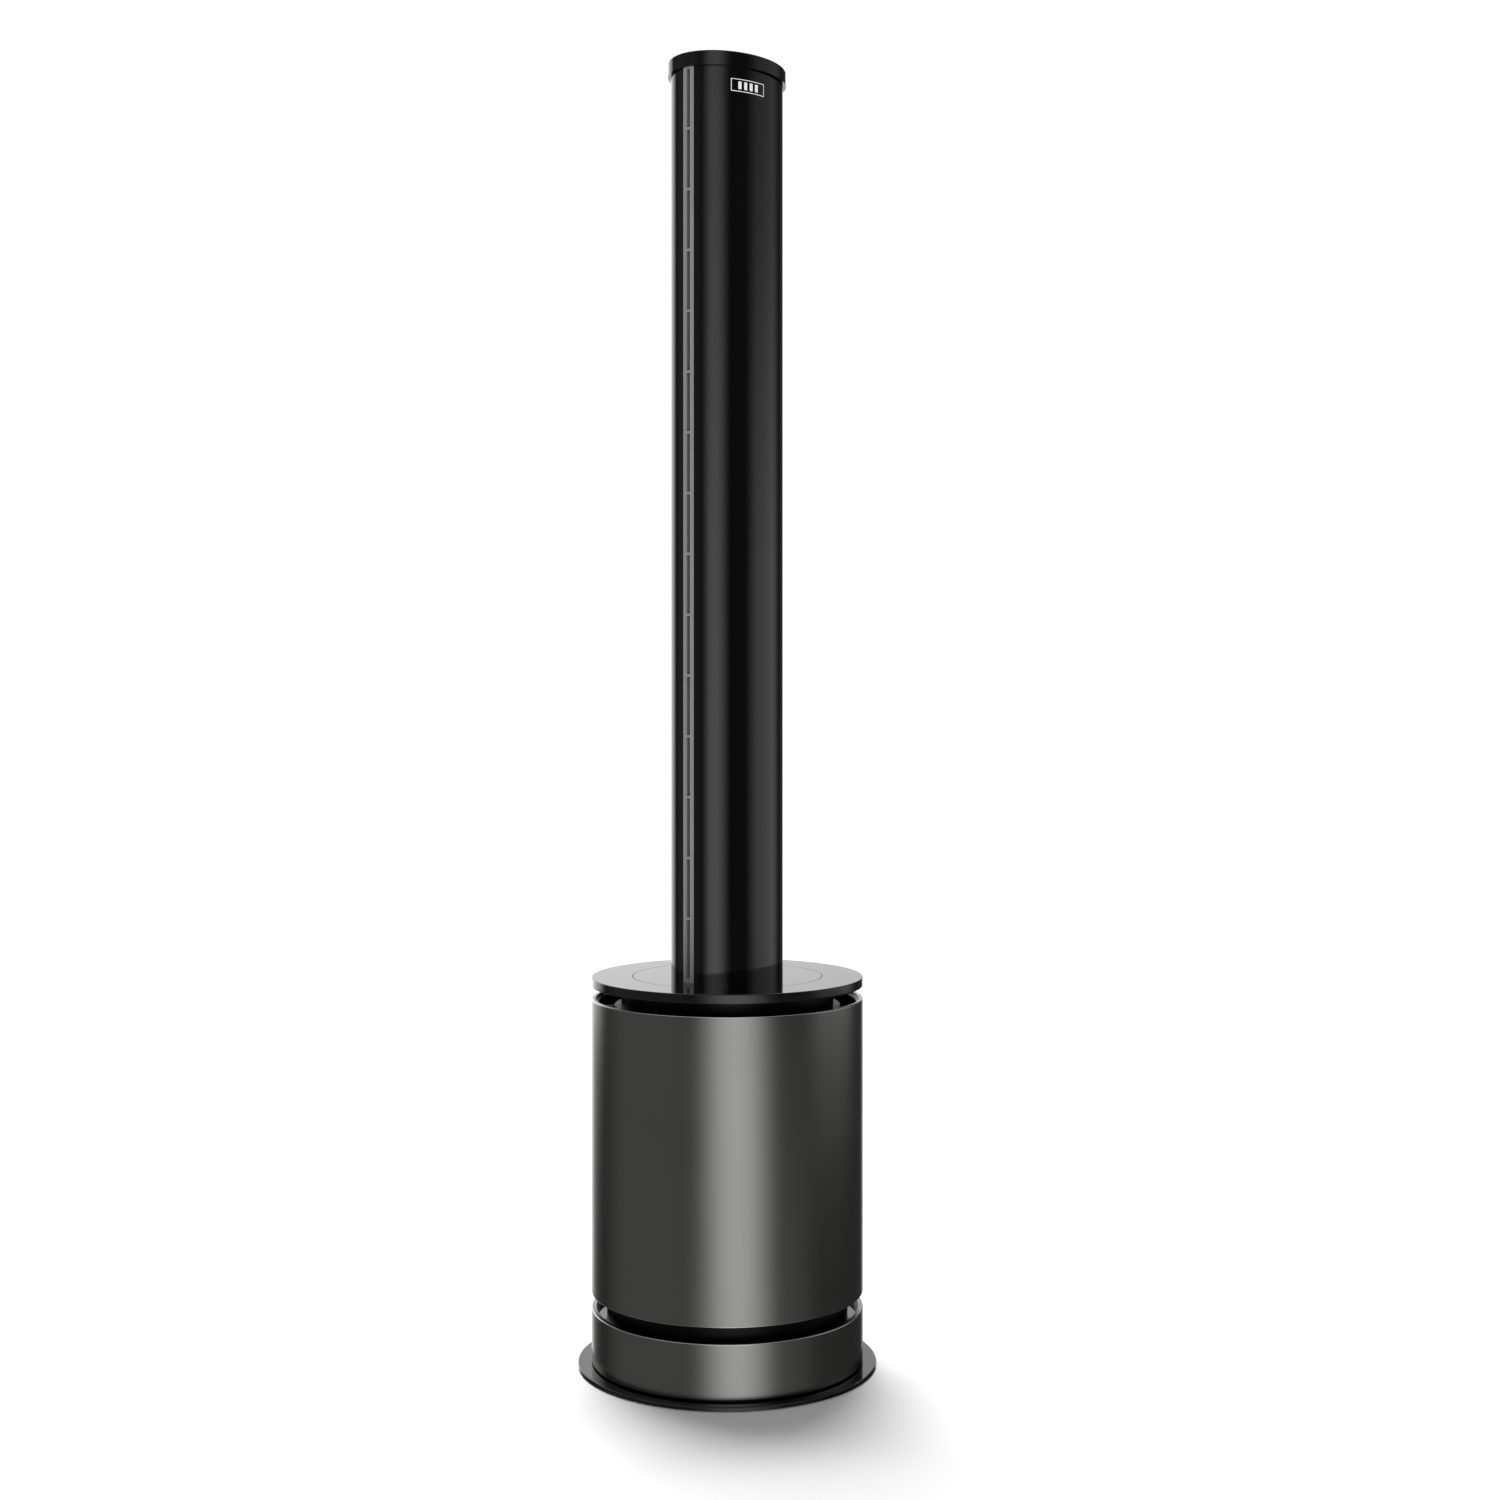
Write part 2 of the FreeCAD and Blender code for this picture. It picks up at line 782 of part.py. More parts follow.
def motor_housing():
    """Motor can with a bearing seat in each end."""
    can = ring(motor_radius, motor_radius - motor_wall, motor_bottom, motor_top)
    ends = disc(motor_radius - motor_wall / 2, motor_bottom, motor_bottom + motor_end)
    top_end = disc(motor_radius - motor_wall / 2, motor_top - motor_end, motor_top)
    seat_radius = bearing_radius + bearing_seat_wall
    seats = [
        ring(seat_radius, bearing_radius, motor_bottom + motor_end, motor_bottom + motor_end + bearing_height),
        ring(seat_radius, bearing_radius, motor_top - motor_end - bearing_height, motor_top - motor_end),
    ]
    body = fused([can, ends, top_end] + seats)
    return body.cut(bore(shaft_radius + running, motor_bottom, motor_bottom + motor_end))


def motor_bearings():
    lower = motor_bottom + motor_end
    upper = motor_top - motor_end - bearing_height
    return Part.makeCompound([
        ring(bearing_radius, shaft_radius + shaft_clearance, bottom, bottom + bearing_height)
        for bottom in (lower, upper)
    ])


def motor_stator():
    half = stator_height / 2
    core = ring(stator_radius, stator_bore, motor_middle - half, motor_middle + half)
    slot = block(slot_depth, slot_span, motor_middle - half - past, motor_middle + half + past, slot_circle)
    return cut_all(core, repeated(slot, stator_slots))


def motor_coils():
    half = stator_height / 2 + coil_overhang
    coil = block(slot_depth - 2 * coil_gap, slot_span - 2 * coil_gap, motor_middle - half, motor_middle + half,
                 slot_circle)
    return Part.makeCompound(repeated(coil, stator_slots))


def motor_isolators():
    """Rubber rings between the motor can and its pod."""
    lower = motor_bottom + isolator_inset
    upper = pod_top - isolator_height - isolator_inset
    return Part.makeCompound([
        ring(pod_radius - pod_wall, motor_radius, bottom, bottom + isolator_height) for bottom in (lower, upper)
    ])


def motor_cover():
    """Domed cap that closes the pod."""
    def dome(radius, height):
        sphere_radius = (radius * radius + height * height) / (2 * height)
        ball = Part.makeSphere(sphere_radius, Vector(0, 0, pod_top + height - sphere_radius))
        return ball.common(disc(radius + past, pod_top, pod_top + height + past))

    return dome(pod_radius, cover_height).cut(dome(pod_radius - pod_wall, cover_height - pod_wall))


def outlet_cone():
    """Funnel from the blower housing to the round socket under the turntable."""
    outer = housing_inner + housing_wall
    return turned([
        (housing_inner, housing_top), (outer, housing_top), (outer, housing_top + housing_wall),
        (socket_radius, cone_top), (socket_radius, socket_top), (socket_inner, socket_top),
        (socket_inner, cone_top),
    ])


def duct_seal():
    """Felt ring on the socket, brushed by the turning hub."""
    return ring(drive_hub_inner - fit, socket_radius, seal_top - seal_height, seal_top)


# ================================================================ turntable drive
def deck_screw_points():
    turn = 360.0 / deck_screw_count
    return [on_circle(deck_screw_circle, turn * (step + 0.5)) for step in range(deck_screw_count)]


def involute_gear(teeth, bottom, top, start_angle):
    """Spur gear whose first tooth is centred on the start angle, counted from +X."""
    pitch = gear_module * teeth / 2
    base = pitch * math.cos(pressure_angle)
    tip = pitch + gear_module
    root = pitch - dedendum * gear_module
    half_tooth = (math.pi * gear_module / 2 - gear_backlash) / (2 * pitch)
    involute_at_pitch = math.tan(pressure_angle) - pressure_angle

    def flank(radius):
        roll = math.acos(min(1.0, base / radius))
        return half_tooth + involute_at_pitch - (math.tan(roll) - roll)

    start = max(base, root)
    radii = [start + (tip - start) * step / (flank_points - 1) for step in range(flank_points)]
    if root < base:
        radii.insert(0, root)
    outline = []
    for tooth in range(teeth):
        middle = start_angle + 2 * math.pi * tooth / teeth
        for side, order in ((-1, radii), (1, radii[::-1])):
            for radius in order:
                angle = middle + side * flank(max(radius, base))
                outline.append((radius * math.cos(angle), radius * math.sin(angle)))
    return prism(outline, bottom, top)


def drive_gear():
    """Hub, gear and flange in one moulding, screwed under the turntable."""
    hub = ring(drive_hub_radius, drive_hub_inner, retainer_bottom - lap, turntable_bottom)
    teeth = involute_gear(gear_teeth, gear_bottom, gear_top, math.pi / 2)
    teeth = teeth.cut(bore(drive_hub_inner + lap, gear_bottom, gear_top))
    flange = ring(gear_flange_radius, drive_hub_inner + lap, gear_top, turntable_bottom)
    gear = fused([hub, teeth, flange])
    window = light_slot(light_board_length + 2 * running, light_board_width + 2 * running,
                        gear_top - past, turntable_bottom + past)
    return cut_all(gear, holes(screw_radius + fit, gear_top, turntable_bottom, gear_screw_points()) + [window])


def gear_screw_points():
    """Screws on the front and sides, outside the arc that the pinion sweeps."""
    return [on_circle(gear_flange_radius - gear_screw_inset, azimuth) for azimuth in (-110, -60, 0, 60, 110)]


def turntable_screws():
    length = gear_flange_thickness + turntable_thickness - screw_tip_room - screw_sink
    return Part.makeCompound([screw(x, y, gear_top, length, head_up=False) for x, y in gear_screw_points()])


def retainer_ring():
    """Clip on the hub that keeps the turntable down."""
    return ring(retainer_radius, drive_hub_radius, retainer_bottom, retainer_top)


def bearing_carrier():
    """Plate in the neck that carries the glide ring, the drive and the top deck."""
    plate = ring(neck_inner - fit, carrier_bore, carrier_bottom, carrier_top)
    rim = ring(neck_inner - fit, glide_outer + fit, carrier_top - lap, deck_bottom)
    carrier = fused([plate, rim])
    nose = holes(stepper_nose_radius + fit, carrier_bottom, carrier_top, [pinion_point])
    return cut_all(carrier, nose + holes(screw_radius + fit, carrier_bottom, deck_bottom, deck_screw_points()))


def glide_ring():
    """Low-friction ring that the turntable turns on."""
    return ring(glide_outer, glide_outer - glide_ring_width, carrier_top, turntable_bottom - running)


def oscillation_motor():
    """Geared stepper motor whose output shaft is off its middle."""
    body = post(stepper_radius, carrier_bottom - stepper_height, carrier_bottom, *stepper_point)
    nose = post(stepper_nose_radius, carrier_bottom, carrier_bottom + stepper_nose_height, *pinion_point)
    shaft_end = carrier_bottom - pinion_shaft_depth - running
    return cut_all(fused([body, nose]),
                   blind_holes(pinion_shaft_radius + shaft_clearance, carrier_top, shaft_end, [pinion_point]))


def pinion_shaft():
    return post(pinion_shaft_radius, carrier_bottom - pinion_shaft_depth, pinion_top, *pinion_point)


def drive_pinion():
    """Small gear in mesh with the drive gear at rest, a gap facing the drive gear's tooth."""
    gap_facing = -math.pi / 2 + math.pi / pinion_teeth
    gear = involute_gear(pinion_teeth, pinion_bottom, pinion_top, gap_facing)
    gear.translate(Vector(*pinion_point, 0))
    return cut_all(gear, holes(pinion_shaft_radius, pinion_bottom, pinion_top, [pinion_point]))


def top_deck():
    deck = ring(deck_radius, turntable_radius + turntable_seam, deck_bottom, deck_top)
    deck = softened(deck, deck_top, edge_round)
    deck = softened(deck, deck_bottom, edge_round)
    return cut_all(deck, blind_holes(screw_radius, deck_bottom, deck_screw_end, deck_screw_points()))


def deck_screws():
    length = deck_screw_end - lap - ledge_bottom
    return Part.makeCompound([screw(x, y, ledge_bottom, length, head_up=False) for x, y in deck_screw_points()])


# ================================================================ column
def light_slot(length, width, bottom, top):
    """Block lying across the radius at the status light."""
    return turned_by(block(length, width, bottom, top, 0, -light_radius), math.degrees(light_azimuth))


def turntable():
    table = disc(turntable_radius, turntable_bottom, deck_top)
    duct = oval(duct_half_length, duct_half_width, turntable_bottom - past, deck_top + past)
    light = light_slot(light_length + 2 * fit, light_width + 2 * fit, turntable_bottom - past, deck_top + past)
    through = holes(screw_radius + fit, turntable_bottom, deck_top, foot_screw_points())
    blind = blind_holes(screw_radius, turntable_bottom, deck_top - screw_tip_room, gear_screw_points())
    return cut_all(table, [duct, light] + through + blind)


def status_window():
    """Light pipe that ends flush with the turntable."""
    return light_slot(light_length, light_width, status_board_top, deck_top)


def status_board():
    return light_slot(light_board_length, light_board_width, gear_top + running, status_board_top)


def foot_screw_points():
    length = (duct_half_length + tube_inner_length) / 2 - foot_screw_inset
    width = (duct_half_width + tube_inner_width) / 2 - foot_screw_inset
    across = width * math.sin(foot_screw_angle)
    along = length * math.cos(foot_screw_angle)
    return [(i * across, j * along) for i in (-1, 1) for j in (-1, 1)]


def end_plate(bottom):
    """Oval plate that fills an end of the tube, notched for the outlet strip."""
    plate = oval(tube_inner_length - fit, tube_inner_width - fit, bottom, bottom + end_plate_thickness)
    notch_face = column_half_length - strip_depth - fit
    notch = block(strip_width + 2 * notch_room, 2 * strip_depth, bottom - past,
                  bottom + end_plate_thickness + past, 0, -notch_face - strip_depth)
    return plate.cut(notch)


def column_foot():
    duct = oval(duct_half_length, duct_half_width, deck_top - past, foot_top + past)
    bores = blind_holes(screw_radius, deck_top, foot_top - screw_tip_room, foot_screw_points())
    return cut_all(end_plate(deck_top), [duct] + bores)


def foot_screws():
    length = turntable_thickness + end_plate_thickness - screw_tip_room - lap
    size = (screw_radius, small_head_radius, screw_head_height)
    return Part.makeCompound([
        screw(x, y, turntable_bottom, length, head_up=False, size=size) for x, y in foot_screw_points()
    ])


def column_tube():
    """Oval tube, open along its nose for the outlet strip."""
    tube = oval(column_half_length, column_half_width, deck_top, tube_top)
    tube = tube.cut(oval(tube_inner_length, tube_inner_width, deck_top - past, tube_top + past))
    nose = block(strip_width, column_half_length, deck_top - past, tube_top + past, 0, -column_half_length)
    return tube.cut(nose)


def outlet_strip():
    """Slotted bar that lies flush in the nose of the tube."""
    bar = oval(column_half_length, column_half_width, deck_top, tube_top)
    bar = bar.common(block(strip_width - 2 * fit, 2 * strip_depth, deck_top, tube_top, 0, -column_half_length))
    slots = []
    for step in range(slot_count):
        bottom = first_slot + step * slot_pitch
        slots.append(block(slot_width, column_half_length, bottom, bottom + slot_pitch - rib_thickness,
                           0, -column_half_length))
    return cut_all(bar, slots)


def nozzle_liner():
    """Two converging lips behind the slot, tied by a vane behind each rib of the strip."""
    bottom = foot_top + running
    top = top_plate_bottom - running
    mouth_y = -(column_half_length - strip_depth - lip_thickness / 2)
    mouth_x = slot_width / 2 + lip_thickness / 2
    end_x = (tube_inner_width - lip_reach) * math.sin(lip_end_angle)
    end_y = -(tube_inner_length - lip_reach) * math.cos(lip_end_angle)
    middle = (mouth_x + (end_x - mouth_x) * lip_bend_across, mouth_y + (end_y - mouth_y) * lip_bend_back)
    lip = curved_plate([(mouth_x, mouth_y), middle, (end_x, end_y)], lip_thickness, bottom, top)
    vanes = []
    for step in range(1, slot_count):
        level = first_slot + step * slot_pitch - rib_thickness
        plan = [(mouth_x, mouth_y), middle, (-middle[0], middle[1]), (-mouth_x, mouth_y)]
        vanes.append(prism(plan, level, level + rib_thickness))
    return fused([lip, mirrored_x(lip)] + vanes)


def column_top_plate():
    peg_holes = holes(cap_peg_radius + fit, top_plate_bottom, tube_top, peg_points)
    return cut_all(end_plate(top_plate_bottom), peg_holes)


def column_cap():
    """Lid that overhangs the tube all round and pegs into the top plate."""
    lid = oval(column_half_length + cap_overhang, column_half_width + cap_overhang, tube_top, cap_top)
    lid = softened(lid, cap_top, cap_round)
    pocket = oval(tube_inner_length, tube_inner_width, tube_top - past, cap_top - cap_wall)
    pegs = [post(cap_peg_radius, tube_top - cap_peg_length, cap_top - cap_wall + lap, x, y) for x, y in peg_points]
    return fused([lid.cut(pocket)] + pegs)


def badge_plate():
    """Blank badge that follows the tube's side, with a raised border."""
    middle = tube_top - badge_drop

    def grown(extra, reach):
        return oval(column_half_length + extra, column_half_width + extra, middle - reach, middle + reach)

    def skin(low, high):
        return grown(high, badge_height).cut(grown(low, badge_height + past))

    def window(width, height):
        box = block(width, column_half_length, middle - height / 2, middle + height / 2, 0, -column_half_length)
        return turned_by(box, math.degrees(badge_azimuth))

    plate = skin(0, badge_thickness).common(window(badge_width, badge_height))
    field = window(badge_width - 2 * badge_border, badge_height - 2 * badge_border)
    return plate.cut(skin(badge_thickness - badge_recess, badge_thickness + past).common(field))


# ================================================================ export
pieces = [
    rubber_feet, base_plate, base_tray, tray_screws, lower_band, base_deck, power_inlet, inlet_pins,
    power_board, transformer, capacitors, control_board, processor, board_screws,
    filter_drum, filter_lower_cap, filter_media, filter_upper_cap, filter_gasket,
    shell_cage, cage_screws, outer_shell, drum_neck,
    inlet_bell, impeller, impeller_nut, motor_shaft, motor_rotor, diffuser,
    motor_housing, motor_bearings, motor_stator, motor_coils, motor_isolators, motor_cover,
    outlet_cone, duct_seal,
    bearing_carrier, glide_ring, oscillation_motor, pinion_shaft, drive_pinion,
    drive_gear, retainer_ring, turntable_screws, top_deck, deck_screws,
    turntable, status_window, status_board, column_foot, foot_screws,
    column_tube, outlet_strip, nozzle_liner, column_top_plate, column_cap, badge_plate,
]

for piece in pieces:
    shape = piece()
    shape.exportStep("parts/" + piece.__name__ + ".step")
    print(piece.__name__, len(shape.Solids), round(shape.Volume), shape.isValid())
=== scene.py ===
"""Looks for the oscillating tower fan: studio, finishes and the finely shaped outer pieces.

Metres, +Z up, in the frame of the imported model. The outlet strip on the column's nose points along -Y, and
azimuths are counted from there towards +X.
"""
import bmesh
import bpy
import json
import math

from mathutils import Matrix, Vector


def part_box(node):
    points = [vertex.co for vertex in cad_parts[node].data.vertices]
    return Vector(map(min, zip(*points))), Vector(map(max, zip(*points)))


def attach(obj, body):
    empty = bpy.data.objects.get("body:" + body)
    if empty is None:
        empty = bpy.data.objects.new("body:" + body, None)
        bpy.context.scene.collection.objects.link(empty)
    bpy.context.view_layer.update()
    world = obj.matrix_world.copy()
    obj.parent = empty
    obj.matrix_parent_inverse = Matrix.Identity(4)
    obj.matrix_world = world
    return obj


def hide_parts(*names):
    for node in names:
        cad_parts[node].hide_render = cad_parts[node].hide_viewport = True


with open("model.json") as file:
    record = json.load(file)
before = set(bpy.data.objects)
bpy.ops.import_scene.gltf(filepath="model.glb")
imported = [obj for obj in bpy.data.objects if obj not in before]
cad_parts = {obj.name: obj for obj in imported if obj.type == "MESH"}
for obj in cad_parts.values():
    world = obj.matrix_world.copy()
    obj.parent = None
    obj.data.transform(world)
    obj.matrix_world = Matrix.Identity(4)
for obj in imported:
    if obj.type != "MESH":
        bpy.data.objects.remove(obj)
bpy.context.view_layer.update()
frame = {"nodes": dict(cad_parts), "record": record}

MM = 0.001
FINE_TURN = 256        # facets round a turned piece
EDGE_STEPS = 5         # facets across a rounded edge
HOLD = 0.3 * MM        # width of the strip that keeps a flat face flat beside a rounded edge
SHARP_ANGLE = math.radians(35)     # edges sharper than this stay crisp

# ---------------------------------------------------------------- camera and studio sizes
CAMERA_AZIMUTH = math.radians(34.4)
CAMERA_DISTANCE = 1.720
CAMERA_HEIGHT = 0.5468
CAMERA_SIDESTEP = 0.0184
CAMERA_LENS = 50.86
CAMERA_SENSOR = 36.0
CAMERA_SHIFT = -0.0412
FLOOR_HALF = 40.0
ROOM_LIGHT = 0.25          # what matt surfaces receive from all round
BACKDROP_LIGHT = 1.1       # what the camera sees behind the fan
PANEL_GLOW = 0.05          # what gloss mirrors between the panels
OVERHEAD_LIGHT = 0.8
OVERHEAD_START = 35        # degrees of elevation
OVERHEAD_END = 60
BENCH_LOW = -8.6           # degrees of elevation between which the upper and lower parts of a panel meet
BENCH_HIGH = -7.9
KEY_STRENGTH = 3.4
KEY_SOFTNESS = math.radians(22)
KEY_AZIMUTH = CAMERA_AZIMUTH + math.radians(193)       # from behind the fan
KEY_ELEVATION = math.radians(71)
FILL_STRENGTH = 0.88
FILL_SOFTNESS = math.radians(60)
FILL_ELEVATION = math.radians(14)
WHITE = (1, 1, 1, 1)


# ---------------------------------------------------------------- node and colour helpers
def linear(hex_colour):
    """sRGB hex to linear RGBA."""
    channels = [int(hex_colour[start:start + 2], 16) / 255 for start in (1, 3, 5)]
    return [c / 12.92 if c <= 0.04045 else ((c + 0.055) / 1.055) ** 2.4 for c in channels] + [1.0]


def add_node(tree, kind, inputs=None, **settings):
    """Adds a node, sets its properties, and links or sets its inputs."""
    made = tree.nodes.new(kind)
    for name, value in settings.items():
        setattr(made, name, value)
    for socket, value in (inputs or {}).items():
        if isinstance(value, bpy.types.NodeSocket):
            tree.links.new(value, made.inputs[socket])
        else:
            made.inputs[socket].default_value = value
    return made


# ---------------------------------------------------------------- camera, floor and light
def add_camera():
    """Level camera; its shift keeps the column upright."""
    toward_camera = Vector((math.sin(CAMERA_AZIMUTH), -math.cos(CAMERA_AZIMUTH), 0))
    to_the_right = Vector((math.cos(CAMERA_AZIMUTH), math.sin(CAMERA_AZIMUTH), 0))
    data = bpy.data.cameras.new("camera")
    data.lens = CAMERA_LENS
    data.sensor_width = CAMERA_SENSOR
    data.shift_y = CAMERA_SHIFT
    camera = bpy.data.objects.new("camera", data)
    camera.location = toward_camera * CAMERA_DISTANCE + to_the_right * CAMERA_SIDESTEP
    camera.location.z = CAMERA_HEIGHT
    camera.rotation_euler = (math.radians(90), 0, CAMERA_AZIMUTH)
    bpy.context.collection.objects.link(camera)
    bpy.context.scene.camera = camera
    bpy.context.scene.view_settings.view_transform = "Standard"


def add_floor():
    """Matt white floor that gathers the shadow and isn't mirrored."""
    half = FLOOR_HALF
    mesh = bpy.data.meshes.new("floor")
    corners = [(-half, -half, 0), (half, -half, 0), (half, half, 0), (-half, half, 0)]
    mesh.from_pydata(corners, [], [(0, 1, 2, 3)])
    material = bpy.data.materials.new("matt white studio floor")
    material.use_nodes = True
    shader = material.node_tree.nodes["Principled BSDF"]
    shader.inputs["Base Color"].default_value = linear("#f4f4f4")
    shader.inputs["Roughness"].default_value = 0.9
    shader.inputs["Specular IOR Level"].default_value = 0.0
    mesh.materials.append(material)
    floor = bpy.data.objects.new("floor", mesh)
    floor.visible_glossy = False
    bpy.context.collection.objects.link(floor)


def add_soft_light(name, strength, softness, azimuth, elevation):
    """Large soft light that shapes shade and shadow but isn't mirrored in the gloss."""
    data = bpy.data.lights.new(name, "SUN")
    data.energy = strength
    data.angle = softness
    light = bpy.data.objects.new(name, data)
    light.rotation_euler = (math.radians(90) - elevation, 0, azimuth)
    light.visible_glossy = False
    bpy.context.collection.objects.link(light)


def add_studio():
    """White room for the eye; in reflections a dark studio with tall soft panels round the fan."""
    world = bpy.data.worlds.new("studio")
    bpy.context.scene.world = world
    world.use_nodes = True
    tree = world.node_tree
    tree.nodes.clear()
    direction = add_node(tree, "ShaderNodeTexCoord").outputs["Generated"]
    up = add_node(tree, "ShaderNodeSeparateXYZ", {"Vector": direction}).outputs["Z"]
    elevation = add_node(tree, "ShaderNodeMath", {0: up}, operation="ARCSINE").outputs[0]
    flat = {0: direction, 1: (1, 1, 0)}
    level = add_node(tree, "ShaderNodeVectorMath", flat, operation="MULTIPLY").outputs[0]
    heading = add_node(tree, "ShaderNodeVectorMath", {0: level}, operation="NORMALIZE").outputs[0]

    def eased(angle, start, end, low, high):
        """Settings of a smooth ramp over an angle, from start to end in degrees."""
        limits = {"From Min": math.radians(start), "From Max": math.radians(end)}
        return {"Value": angle, **limits, "To Min": low, "To Max": high}

    def panel(azimuth, half_width, soft_edge, brightness, *ramps):
        """Tall panel, placed in degrees from the camera to its right; each ramp fades it by elevation."""
        turn = CAMERA_AZIMUTH + math.radians(azimuth)
        sides = {0: heading, 1: (math.sin(turn), -math.cos(turn), 0)}
        facing = add_node(tree, "ShaderNodeVectorMath", sides, operation="DOT_PRODUCT").outputs[1]
        away = add_node(tree, "ShaderNodeMath", {0: facing}, operation="ARCCOSINE").outputs[0]
        edge = eased(away, half_width, half_width + soft_edge, brightness, 0)
        shine = add_node(tree, "ShaderNodeMapRange", edge, interpolation_type="SMOOTHSTEP").outputs[0]
        for ramp in ramps:
            fade = eased(elevation, *ramp)
            part = add_node(tree, "ShaderNodeMapRange", fade, interpolation_type="SMOOTHSTEP").outputs[0]
            shine = add_node(tree, "ShaderNodeMath", {0: shine, 1: part}, operation="MULTIPLY").outputs[0]
        return shine

    on_bench = (BENCH_LOW, BENCH_HIGH, 0, 1)
    under_bench = (BENCH_LOW, BENCH_HIGH, 1, 0)
    mostly_under_bench = (BENCH_LOW, BENCH_HIGH, 1, 0.2)
    glow = PANEL_GLOW
    for settings in [
        (5, 4, 31, 1.42, on_bench, (-2, 22, 1, 0.6)),           # main panel beside the camera
        (9, 2, 37, 1.50, under_bench, (-19, -9, 0.80, 1)),      # its foot, turned a little further
        (22, 34, 34, 0.15, under_bench),                        # the foot's spill
        (-72, 22, 36, 0.15),                                    # fill on the left
        (102, 12, 26, 0.70, on_bench, (2, 16, 1, 0.4)),         # tall panel on the right
        (180, 13, 7, 0.88),                                     # white wall behind
        (-168, 8, 12, 0.75, mostly_under_bench),                # its brighter left part
        (-158, 0, 32, 0.35, (-17, -9, 0.35, 0.9)),              # the wall's return along the left
        (-148, 10, 16, 1.20, on_bench),                         # left wall at the column's level
    ]:
        glow = add_node(tree, "ShaderNodeMath", {0: panel(*settings), 1: glow}, operation="ADD").outputs[0]
    above = eased(elevation, OVERHEAD_START, OVERHEAD_END, 0, 1)
    overhead = add_node(tree, "ShaderNodeMapRange", above, interpolation_type="SMOOTHSTEP").outputs[0]
    mix = {0: overhead, 2: glow, 3: OVERHEAD_LIGHT}
    glow = add_node(tree, "ShaderNodeMix", mix, data_type="FLOAT").outputs[0]
    panels = add_node(tree, "ShaderNodeBackground", {"Strength": glow})
    room = add_node(tree, "ShaderNodeBackground", {"Strength": ROOM_LIGHT})
    backdrop = add_node(tree, "ShaderNodeBackground", {"Strength": BACKDROP_LIGHT})
    for background in (panels, room, backdrop):
        background.inputs["Color"].default_value = WHITE
    path = add_node(tree, "ShaderNodeLightPath")
    bounce = add_node(tree, "ShaderNodeMixShader", {0: path.outputs["Is Glossy Ray"], 1: room.outputs[0],
                                                    2: panels.outputs[0]})
    seen = add_node(tree, "ShaderNodeMixShader", {0: path.outputs["Is Camera Ray"], 1: bounce.outputs[0],
                                                  2: backdrop.outputs[0]})
    add_node(tree, "ShaderNodeOutputWorld", {"Surface": seen.outputs[0]})


# ---------------------------------------------------------------- finishes
GRAIN_DETAIL = 2.0
PATCH_DETAIL = 3.0
PATCH_LOW = 0.3            # levels of the slow noise that reach the two ends of the roughness
PATCH_HIGH = 0.7


def finish(name, colour, roughness, metallic=0.0, **sockets):
    """A named material with its constant values on the shader's own sockets."""
    material = bpy.data.materials.new(name)
    material.use_nodes = True
    shader = material.node_tree.nodes["Principled BSDF"]
    shader.inputs["Base Color"].default_value = linear(colour)
    shader.inputs["Roughness"].default_value = roughness
    shader.inputs["Metallic"].default_value = metallic
    for socket, value in sockets.items():
        shader.inputs[socket.replace("_", " ")].default_value = value
    return material


def add_surface(material, grain, depth, patch, colours=None, roughness=None, stretch=(1, 1, 1)):
    """Fine relief of one grain size, and slow patches of colour and roughness; sizes in millimetres."""
    tree = material.node_tree
    shader = tree.nodes["Principled BSDF"]
    place = add_node(tree, "ShaderNodeTexCoord").outputs["Object"]
    spread = add_node(tree, "ShaderNodeMapping", {"Vector": place, "Scale": stretch}).outputs[0]
    fine = {"Vector": spread, "Scale": 1 / (grain * MM), "Detail": GRAIN_DETAIL}
    relief = add_node(tree, "ShaderNodeTexNoise", fine)
    bump = add_node(tree, "ShaderNodeBump", {"Height": relief.outputs[0], "Distance": depth * MM})
    tree.links.new(bump.outputs[0], shader.inputs["Normal"])
    broad = {"Vector": spread, "Scale": 1 / (patch * MM), "Detail": PATCH_DETAIL}
    slow = add_node(tree, "ShaderNodeTexNoise", broad)
    if colours:
        dark, pale = linear(colours[0]), linear(colours[1])
        blend = add_node(tree, "ShaderNodeMix", {0: slow.outputs[0], 6: dark, 7: pale}, data_type="RGBA")
        tree.links.new(blend.outputs[2], shader.inputs["Base Color"])
    if roughness:
        smooth, rough = roughness
        limits = {"From Min": PATCH_LOW, "From Max": PATCH_HIGH, "To Min": smooth, "To Max": rough}
        sheen = add_node(tree, "ShaderNodeMapRange", {"Value": slow.outputs[0], **limits})
        tree.links.new(sheen.outputs[0], shader.inputs["Roughness"])
    return material


def polished_black_abs():
    """Injection moulded in a mirror-polished tool: deep black with crisp, very slightly wavy reflections."""
    material = finish("polished black ABS", "#050505", 0.07, IOR=1.53)
    return add_surface(material, 9.0, 0.0006, 60.0, ("#040404", "#060606"), (0.055, 0.085))


def black_enamelled_steel():
    """Stoved enamel on pressed plate: black gloss with a faint orange peel."""
    material = finish("black enamelled steel", "#050505", 0.11, IOR=1.52, Specular_IOR_Level=0.4)
    return add_surface(material, 2.2, 0.0008, 45.0, ("#050505", "#080808"), (0.07, 0.12))


def blasted_gunmetal():
    """Rolled aluminium, bead blasted and dyed in the anodising bath: a soft, even, neutral sheen."""
    material = finish("bead-blasted gunmetal aluminium", "#838381", 0.24, 1.0)
    return add_surface(material, 0.5, 0.0005, 80.0, ("#80807e", "#868684"), (0.225, 0.255))


